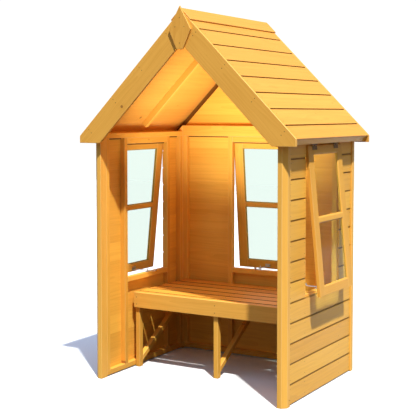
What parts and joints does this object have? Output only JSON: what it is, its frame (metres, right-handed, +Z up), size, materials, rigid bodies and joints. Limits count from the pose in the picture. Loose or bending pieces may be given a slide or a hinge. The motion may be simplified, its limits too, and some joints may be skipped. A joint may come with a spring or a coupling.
{
  "type": "garden arbour",
  "caption": "Boarded garden shelter with an open gabled front, a pitched roof, a slatted bench and top-hung windows held ajar by stays.",
  "frame": {"origin": "on the ground, under the middle of the whole object's box", "axes": "+Z up, -Y towards the open front, +X to the right as seen from the front"},
  "size_m": [1.4426, 1.1149, 2.1911],
  "materials": {
    "planed_timber": "satin stained softwood",
    "frame_timber": "satin stained softwood",
    "cladding": "satin stained softwood",
    "roof_timber": "satin stained softwood",
    "sash_timber": "satin stained softwood",
    "seat_timber": "satin stained softwood",
    "zinc_plate": "zinc plated",
    "glazing": "clear"
  },
  "bodies": {
    "shelter": {"front_left_post": "planed_timber", "front_right_post": "planed_timber", "rear_left_post": "planed_timber", "rear_right_post": "planed_timber", "left_wall_frame": "frame_timber", "right_wall_frame": "frame_timber", "back_wall_frame": "frame_timber", "gable_frame": "frame_timber", "left_cladding": "cladding", "right_cladding": "cladding", "back_cladding": "cladding", "left_roof_boards": "roof_timber", "right_roof_boards": "roof_timber", "left_ridge_capping": "roof_timber", "right_ridge_capping": "roof_timber", "left_roof_frame": "frame_timber", "right_roof_frame": "frame_timber", "front_left_bargeboard": "planed_timber", "front_right_bargeboard": "planed_timber", "rear_left_bargeboard": "planed_timber", "rear_right_bargeboard": "planed_timber", "gable_finial": "planed_timber", "left_hinge_1_frame_leaf": "zinc_plate", "left_hinge_2_frame_leaf": "zinc_plate", "left_stay_peg": "zinc_plate", "right_hinge_1_frame_leaf": "zinc_plate", "right_hinge_2_frame_leaf": "zinc_plate", "right_stay_peg": "zinc_plate", "back_hinge_1_frame_leaf": "zinc_plate", "back_hinge_2_frame_leaf": "zinc_plate", "back_stay_peg": "zinc_plate", "seat_board_1": "seat_timber", "seat_board_2": "seat_timber", "seat_board_3": "seat_timber", "seat_board_4": "seat_timber", "seat_board_5": "seat_timber", "seat_board_6": "seat_timber", "seat_fascia": "planed_timber", "seat_back_rail": "frame_timber", "left_seat_support": "frame_timber", "centre_seat_support": "frame_timber", "right_seat_support": "frame_timber"},
    "left_sash_body": {"left_sash": "sash_timber", "left_glass": "glazing", "left_hinge_1_sash_leaf": "zinc_plate", "left_hinge_2_sash_leaf": "zinc_plate", "left_stay_bracket": "zinc_plate"},
    "left_stay_body": {"left_stay": "zinc_plate"},
    "right_sash_body": {"right_sash": "sash_timber", "right_glass": "glazing", "right_hinge_1_sash_leaf": "zinc_plate", "right_hinge_2_sash_leaf": "zinc_plate", "right_stay_bracket": "zinc_plate"},
    "right_stay_body": {"right_stay": "zinc_plate"},
    "back_sash_body": {"back_sash": "sash_timber", "back_glass": "glazing", "back_hinge_1_sash_leaf": "zinc_plate", "back_hinge_2_sash_leaf": "zinc_plate", "back_stay_bracket": "zinc_plate"},
    "back_stay_body": {"back_stay": "zinc_plate"}
  },
  "joints": [
    {"name": "left_sash_hinge", "type": "hinge", "parent": "shelter", "child": "left_sash_body", "pos_m": [-0.6423, -0.0041, 1.4195], "axis": [0, 1, 0], "range_deg": [-5.6, 3.4]},
    {"name": "left_stay_hinge", "type": "hinge", "parent": "left_sash_body", "child": "left_stay_body", "pos_m": [-0.69237, -0.0041, 0.58812], "axis": [0, 1, 0], "range_deg": [-3.4, 5.6]},
    {"name": "right_sash_hinge", "type": "hinge", "parent": "shelter", "child": "right_sash_body", "pos_m": [0.6423, -0.0041, 1.4195], "axis": [0, -1, 0], "range_deg": [-5.6, 3.4]},
    {"name": "right_stay_hinge", "type": "hinge", "parent": "right_sash_body", "child": "right_stay_body", "pos_m": [0.69237, -0.0041, 0.58812], "axis": [0, -1, 0], "range_deg": [-3.4, 5.6]},
    {"name": "back_sash_hinge", "type": "hinge", "parent": "shelter", "child": "back_sash_body", "pos_m": [0, 0.4765, 1.4195], "axis": [1, 0, 0], "range_deg": [-5.6, 3.4]},
    {"name": "back_stay_hinge", "type": "hinge", "parent": "back_sash_body", "child": "back_stay_body", "pos_m": [0, 0.52657, 0.58812], "axis": [1, 0, 0], "range_deg": [-3.4, 5.6]}
  ],
  "couplings": [
    {"joint": "left_stay_hinge", "follows": "left_sash_hinge", "ratio": -1},
    {"joint": "right_stay_hinge", "follows": "right_sash_hinge", "ratio": -1},
    {"joint": "back_stay_hinge", "follows": "back_sash_hinge", "ratio": -1}
  ]
}
